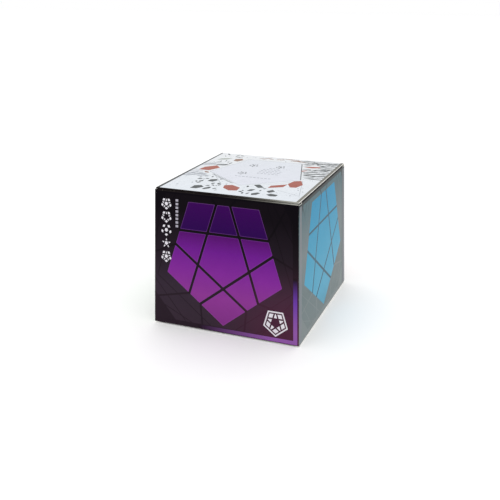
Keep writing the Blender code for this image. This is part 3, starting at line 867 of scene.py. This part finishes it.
def build_lid(finishes, raw):
    def place(x, y, depth):
        return Vector((x, y, HEIGHT - depth))

    panel = sheet("lid_panel", lid_art(), place, finishes, raw)
    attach(panel, "lid")
    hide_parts("carton_lid")

    back = (LID_BACK, HEIGHT - FOLD_RADIUS)
    section = bend(back, FOLD_RADIUS, 0, 90, before=HEIGHT - FOLD_RADIUS - WALL_TOP)
    crease = fold("lid_crease", section, LID_RIGHT - LID_LEFT, finishes["paper"], raw)
    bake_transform(crease)

    tuck_tilt = math.radians(TUCK_TILT)
    centre = (LID_FRONT, HEIGHT - FOLD_RADIUS)
    section = bend(centre, FOLD_RADIUS, 90, 180 + TUCK_TILT)
    crease = fold("tuck_crease", section, LID_RIGHT - LID_LEFT, finishes["fold_sheen"], raw)
    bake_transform(crease)

    outward = Vector((0, -math.cos(tuck_tilt), -math.sin(tuck_tilt)))
    downward = Vector((0, -outward.z, outward.y))

    def hang(x, y, depth):
        return Vector((x, *centre)) + outward * (FOLD_RADIUS - depth) - downward * y

    half, drop = (TUCK_HIGH.x - 0.2 * MM) / MM, -(TUCK_HIGH.z - TUCK_LOW.z) / MM
    outline = [Vector(p) for p in ((-half + 1, 0), (-half, -3), (-half + 5, drop), (half - 5, drop), (half, -3), (half - 1, 0))]
    outline = tidy(rounded(outline, 2.5))
    flap = sheet("tuck_flap_panel", [(outline, "gap")], hang, finishes, raw)
    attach(flap, "tuck_flap")
    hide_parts("lid_tuck_flap")


def build_dust_flap(side, name, finishes, raw):
    """A side flap under the lid, and the crease that joins it to its wall."""
    low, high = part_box(name)
    reach = (high.x - low.x) / MM
    front, back = low.y / MM, high.y / MM
    edge = HALF / MM - FOLD_RADIUS / MM
    tip = HALF / MM - reach
    outline = [(edge, front), (edge, back), (tip, back - reach + 1), (tip, front + 6), (tip + 6, front)]
    points = [Vector((x * side, y)) for x, y in outline]
    points = tidy(points)
    corner_free = rounded(points, 3.0)

    def place(x, y, depth):
        return Vector((x, y, high.z - depth))

    flap = sheet(name + "_panel", [(corner_free, "gap")], place, finishes, raw)
    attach(flap, name)
    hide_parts(name)
    centre = (side * (HALF - FOLD_RADIUS), high.z - FOLD_RADIUS)
    section = bend(centre, FOLD_RADIUS, 0 if side > 0 else 180, 90, before=high.z - FOLD_RADIUS - SIDE_TOP)
    middle = (low.y + high.y) / 2
    length = high.y - low.y - 2 * MM
    crease = fold(name + "_crease", section, length, finishes["gap"], raw, axis="y", middle=middle)
    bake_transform(crease)


def build_base(finishes, raw):
    """The closed bottom: a panel hinged at the back wall, and its tuck flap."""

    def under(x, y, depth):
        return Vector((x, -y, depth))

    edge = HALF / MM - 0.25
    back_edge, front_edge = HALF - FOLD_RADIUS, HALF - BASE_TUCK_INSET - FOLD_RADIUS
    outline = rectangle(-edge, -back_edge / MM, edge, front_edge / MM)
    panel = sheet("base_panel", [(outline, "gap")], under, finishes, raw)
    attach(panel, "carton")
    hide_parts("carton_body")
    back = (HALF - FOLD_RADIUS, FOLD_RADIUS)
    folds = {"base_back_crease": (bend(back, FOLD_RADIUS, 0, -90, before=BASE_GAP), 2 * edge * MM)}
    front = (BASE_TUCK_INSET + FOLD_RADIUS - HALF, FOLD_RADIUS)
    tuck = bend(front, FOLD_RADIUS, 180, 270, before=BASE_TUCK_HEIGHT)
    folds["base_front_crease"] = (tuck, 2 * edge * MM - 5 * MM)
    for name, (section, length) in folds.items():
        crease = fold(name, section, length, finishes["gap"], raw)
        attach(crease, "carton")
        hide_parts("carton_body")


LID_INKS = {
    "paper": ("d9dfe6", "dde0e3"),
    "lavender": ("d6d8e3", "d4d9e0"),
    "hairline": ("8b919b", "8b919b"),
    "red": ("973b25", "a0492f"),
    "brown": ("8f6a54", "876350"),
    "moss": ("6c7869", "78846f"),
    "slate": ("2c3437", "3d4548"),
    # Black print with a painted sheen along the lid's right edge.
    "edge_grey": ("6f6d62", "5c5b52"),
    "edge_dark": ("1f2324", "2c3132"),
}


def build_carton():
    finishes = panel_finishes()
    for ink, (front, back) in LID_INKS.items():
        stops = ((0.0, front), (1.0, back))
        finishes[ink] = printed("ink_lid_" + ink, stops, along="y", gloss=0.22, specular=0.12, wear_and_highlight=False)
    raw = raw_card("raw_card", "f0eee8")
    build_walls(finishes, raw)
    build_lid(finishes, raw)
    build_dust_flap(-1, "dust_flap_left", finishes, raw)
    build_dust_flap(1, "dust_flap_right", finishes, raw)
    build_base(finishes, raw)
    tray = frame["nodes"]["inner_tray"]
    tray.data.materials[0] = raw_card("tray_card", "cbc6bc")


# The puzzle

FACE_FINISHES = {
    "U": ("white", "e2e2e4"),
    "F": ("purple", "4c0c84"),
    "R": ("green", "006a26"),
    "BR": ("red", "b80a10"),
    "BL": ("blue", "0a32a0"),
    "L": ("yellow", "f0c800"),
    "DR": ("light_blue", "3ca4d6"),
    "DBR": ("cream", "e6d08a"),
    "DB": ("pink", "ea6aa4"),
    "DBL": ("lime", "72c41c"),
    "DL": ("orange", "ee6a06"),
    "D": ("grey", "74767c"),
}


def split(bm, point, normal):
    """Cuts a convex body by a plane, and removes what lies beyond it."""
    cut = bmesh.ops.bisect_plane(
        bm,
        geom=bm.verts[:] + bm.edges[:] + bm.faces[:],
        dist=1e-7,
        plane_co=point,
        plane_no=normal,
        clear_outer=True,
    )
    rim = [item for item in cut["geom_cut"] if isinstance(item, bmesh.types.BMEdge)]
    bmesh.ops.edgeloop_fill(bm, edges=rim)


def dodecahedron(inradius=INRADIUS):
    bm = bmesh.new()
    for triple in corner_triples():
        corner = sum((AXES[f] for f in triple), Vector()).normalized() * CIRCUMRADIUS
        bm.verts.new(corner * inradius / INRADIUS)
    bmesh.ops.convex_hull(bm, input=bm.verts)
    bmesh.ops.dissolve_limit(bm, angle_limit=math.radians(1), verts=bm.verts, edges=bm.edges)
    return bm


def ball(radius, subdivisions=4):
    bm = bmesh.new()
    turn = Matrix.Rotation(math.radians(-90), 4, "Z")
    bmesh.ops.create_icosphere(bm, subdivisions=subdivisions, radius=radius, matrix=turn)
    return bm


def cell_body(bm, inside, cut, inner_limit=None, extra=0.0):
    """The part of a body beyond the cut of the faces named, and short of the cut of their neighbours."""
    gap = PIECE_GAP / 2 + extra
    for face in inside:
        split(bm, AXES[face] * (cut + gap), -AXES[face])
    for face in FACES:
        if face not in inside and all(adjacent(face, named) for named in inside):
            limit = (inner_limit if inner_limit is not None else cut) - gap
            split(bm, AXES[face] * limit, AXES[face])
    return bm


def to_mesh(bm, name):
    bmesh.ops.recalc_face_normals(bm, faces=bm.faces)
    mesh = bpy.data.meshes.new(name)
    bm.to_mesh(mesh)
    bm.free()
    return mesh


def bevelled(bm, width=PIECE_BEVEL, segments=3):
    sharp = [e for e in bm.edges if e.is_manifold and e.calc_face_angle() > math.radians(12)]
    bmesh.ops.bevel(
        bm, geom=sharp, offset=width, offset_type="OFFSET", segments=segments, profile=0.5, affect="EDGES", clamp_overlap=True
    )
    return bm


def joined(name, first, *steps):
    """The mesh left after each (operation, mesh) step is applied to the first mesh."""
    target = linked(name + "_target", first)
    helpers = [target]
    for number, (operation, mesh) in enumerate(steps):
        helper = linked(f"{name}_helper_{number}", mesh)
        helpers.append(helper)
        modifier = target.modifiers.new(operation, "BOOLEAN")
        modifier.operation = operation
        modifier.solver = "EXACT"
        modifier.object = helper
    bpy.context.view_layer.update()
    graph = bpy.context.evaluated_depsgraph_get()
    mesh = bpy.data.meshes.new_from_object(target.evaluated_get(graph))
    mesh.name = name
    for helper in helpers:
        bpy.data.objects.remove(helper)
    bm = bmesh.new()
    bm.from_mesh(mesh)
    bmesh.ops.remove_doubles(bm, verts=bm.verts, dist=0.002 * MM)
    idle = [v for v in bm.verts if len(v.link_edges) == 2 and v.calc_edge_angle(1.0) < math.radians(5)]
    bmesh.ops.dissolve_verts(bm, verts=idle)
    bm.to_mesh(mesh)
    bm.free()
    return mesh


def block(inside):
    """A bevelled block with a tile let into each outer face. It ends TILE_RISE short of the true outside."""
    bm = cell_body(dodecahedron(INRADIUS - TILE_RISE), inside, OUTER_CUT)
    bevelled(bm)
    bm.normal_update()
    tops = [face for face in bm.faces if any(is_top(face, axis) for axis in inside)]
    bmesh.ops.inset_individual(bm, faces=tops, thickness=TILE_MARGIN, depth=TILE_RISE)
    return to_mesh(bm, "block")


def is_top(face, axis):
    """Whether a bmesh or mesh face lies flat on the outside of a face of the puzzle."""
    return AXES[axis].dot(face.normal) > 0.9999 and AXES[axis].dot(centre_of(face)) > INRADIUS - 2 * TILE_RISE


def centre_of(face):
    return face.calc_center_median() if isinstance(face, bmesh.types.BMFace) else face.center


def tinted(mesh, inside):
    """Gives each face of a piece its slot: a tile of one of the faces named, or the black body."""
    mesh.materials.clear()
    for _ in range(len(inside) + 1):
        mesh.materials.append(None)
    for polygon in mesh.polygons:
        polygon.material_index = next((i for i, axis in enumerate(inside) if is_top(polygon, axis)), len(inside))
    mesh.shade_smooth()
    mesh.set_sharp_from_angle(angle=math.radians(28))
    return mesh


def piece_meshes():
    """The three kinds of visible piece, modelled on faces U, F and R."""
    shell = SHELL_RADIUS + SHELL_GAP / 2
    foot = SHELL_RADIUS - SHELL_GAP / 2
    centre = joined("centre", block(("U",)), ("DIFFERENCE", to_mesh(ball(shell), "shell")))
    pair, triple = ("U", "F"), ("U", "F", "R")
    edge_foot = to_mesh(bevelled(cell_body(ball(foot, 3), pair, INNER_CUT), 0.2 * MM, 1), "edge_foot")
    neck = cell_body(dodecahedron(), pair, OUTER_CUT, inner_limit=INNER_CUT, extra=0.2 * MM)
    across = (AXES["U"] + AXES["F"]).normalized()
    split(neck, across * (shell + SHELL_GAP), across)
    edge = joined(
        "edge",
        block(pair),
        ("DIFFERENCE", to_mesh(ball(shell), "shell")),
        ("UNION", edge_foot),
        ("UNION", to_mesh(neck, "neck")),
    )
    corner_foot = to_mesh(cell_body(ball(foot, 3), triple, INNER_CUT), "corner_foot")
    corner = joined("corner", block(triple), ("UNION", corner_foot))
    return tinted(centre, ("U",)), tinted(edge, pair), tinted(corner, triple)


def axes_frame(first, second):
    x = first.normalized()
    z = x.cross(second).normalized()
    return Matrix((x, z.cross(x), z)).transposed().to_4x4()


def placing(faces):
    """The turn that takes the piece modelled on U, F and R to other faces, in the order given."""
    model = ("U", "F", "R")[: len(faces)]
    middle = sum((AXES[f] for f in faces), Vector())
    home = sum((AXES[f] for f in model), Vector())
    if len(faces) == 1:
        aside = AXES[next(f for f in FACES if adjacent(faces[0], f))]
        return axes_frame(middle, aside) @ axes_frame(home, AXES["F"]).inverted()
    return axes_frame(middle, AXES[faces[0]]) @ axes_frame(home, AXES["U"]).inverted()


def turned_order(triple):
    """A corner's faces in the same turning order as U, F and R."""
    a, b, c = triple
    model = AXES["U"].cross(AXES["F"]).dot(AXES["R"])
    return triple if AXES[a].cross(AXES[b]).dot(AXES[c]) * model > 0 else (a, c, b)


def build_piece(kind, faces, mesh, finishes, black):
    body = next((LAYERS[f] for f in faces if f in LAYERS), "puzzle")
    obj = linked("piece_" + kind + "_" + "_".join(faces), mesh)
    for slot, face in zip(obj.material_slots, faces):
        slot.link = "OBJECT"
        slot.material = finishes[face]
    last = obj.material_slots[len(faces)]
    last.link = "OBJECT"
    last.material = black
    obj.matrix_world = Matrix.Translation(PUZZLE_CENTRE) @ placing(faces)
    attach(obj, body)
    slot = "plastic_" + FACE_FINISHES[faces[0]][0]
    return obj


def build_puzzle():
    finishes = {face: moulded("plastic_" + name, hexed) for face, (name, hexed) in FACE_FINISHES.items()}
    black = moulded("plastic_black", "0c0c0e", 0.3)
    steel = drawn_steel("steel")
    centre, edge, corner = piece_meshes()
    for face in FACES:
        piece = build_piece("centre", (face,), centre, finishes, black)
        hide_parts("centre_cap_" + face if face in LAYERS else "core_frame")
    for pair in edge_pairs():
        piece = build_piece("edge", pair, edge, finishes, black)
        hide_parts("bottom_ring" if "D" in pair else "edge_" + "_".join(pair))
    for triple in corner_triples():
        piece = build_piece("corner", turned_order(triple), corner, finishes, black)
        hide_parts("bottom_ring" if "D" in triple else "corner_" + "_".join(triple))
    for face in LAYERS:
        frame["nodes"]["centre_base_" + face].data.materials[0] = black
        frame["nodes"]["screw_" + face].data.materials[0] = steel
        frame["nodes"]["spring_" + face].data.materials[0] = steel
    build_core(black)


def build_core(black):
    """The core's ball and its twelve arms, with the round bases of the nine fixed centres."""
    limbs = bmesh.new()
    for face in FACES:
        turn = placing((face,))
        parts = [(4.2, 9.0, 22.4)]
        if face not in LAYERS:
            parts = [(4.2, 9.0, 24.0), (7.0, 22.8, 35.0)]
        for radius, low, high in parts:
            shift = Matrix.Translation((0, 0, (low + high) / 2 * MM))
            bmesh.ops.create_cone(
                limbs,
                cap_ends=True,
                segments=28,
                radius1=radius * MM,
                radius2=radius * MM,
                depth=(high - low) * MM,
                matrix=turn @ shift,
            )
    mesh = joined("core_hub", to_mesh(ball(12.5 * MM, 4), "hub"), ("UNION", to_mesh(limbs, "limbs")))
    mesh.materials.clear()
    mesh.materials.append(black)
    mesh.shade_smooth()
    mesh.set_sharp_from_angle(angle=math.radians(30))
    core = linked("core_hub", mesh)
    core.location = PUZZLE_CENTRE
    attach(core, "puzzle")
    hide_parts("core_frame")


# The studio


FLOOR_GLOW = 0.12  # keeps the sweep white where the carton shades it a little


def build_floor():
    bm = bmesh.new()
    bmesh.ops.create_grid(bm, x_segments=8, y_segments=8, size=4.0)
    mesh = bpy.data.meshes.new("floor")
    bm.to_mesh(mesh)
    bm.free()
    made = Finish("studio_floor")
    colour = made.shaded(srgb("fbfbfb"), 0.01, made.noise(3))
    made.shader.inputs["Emission Color"].default_value = (1, 1, 1, 1)
    made.shader.inputs["Emission Strength"].default_value = FLOOR_GLOW
    mesh.materials.append(made.finish(colour, 0.6, specular=0.2))
    floor = linked("floor", mesh)
    floor.location.z = -0.0002


def softbox(name, location, target, width, height, power, colour=(1, 1, 1)):
    lamp = bpy.data.lights.new(name, "AREA")
    lamp.shape = "RECTANGLE"
    lamp.size = width
    lamp.size_y = height
    lamp.energy = power
    lamp.color = colour
    obj = linked(name, lamp)
    obj.location = location
    obj.rotation_mode = "QUATERNION"
    obj.rotation_quaternion = (Vector(location) - Vector(target)).to_track_quat("Z", "Y")
    return obj


def build_studio():
    build_floor()
    world = bpy.data.worlds.new("studio")
    world.use_nodes = True
    world.node_tree.nodes["Background"].inputs["Color"].default_value = (1, 1, 1, 1)
    world.node_tree.nodes["Background"].inputs["Strength"].default_value = 1.0
    bpy.context.scene.world = world
    softbox("top_light", (-0.1, 0.1, 1.1), (0, 0, 0.05), 0.9, 0.9, 1.2)
    softbox("front_light", (-0.7, -0.9, 0.8), (0, 0, 0.04), 0.6, 0.6, 0.4)
    scene = bpy.context.scene
    scene.view_settings.view_transform = "Standard"
    scene.view_settings.look = "None"


EYE = Vector((182.9, -427.0, 209.7)) * MM
LENS_AZIMUTH = math.radians(19.06)
FOCAL_LENGTH = 50.46
FRAME_RIGHT, FRAME_DOWN = -0.0801, 0.3811  # from the lens axis to the middle of the frame, over its distance


def build_camera():
    """The photo's view: a level lens, its frame shifted down onto the carton, which keeps upright edges parallel.

    The shift is a shear in the camera's stand. It isn't the lens's own shift, so a camera taken off its stand to
    look from another side looks straight at the object.
    """
    right = Vector((math.cos(LENS_AZIMUTH), math.sin(LENS_AZIMUTH), 0))
    up = Vector((0, 0, 1))
    away = right.cross(up) - right * FRAME_RIGHT + up * FRAME_DOWN
    camera = bpy.data.cameras.new("camera")
    camera.lens = FOCAL_LENGTH * away.length
    camera.clip_start = 0.01
    away.normalize()
    obj = linked("camera", camera)
    obj.parent = linked("camera_stand", None)
    obj.matrix_parent_inverse = Matrix([(right[i], up[i], away[i], EYE[i]) for i in range(3)] + [(0, 0, 0, 1)])
    bpy.context.scene.camera = obj


build_carton()
build_puzzle()
build_studio()
build_camera()
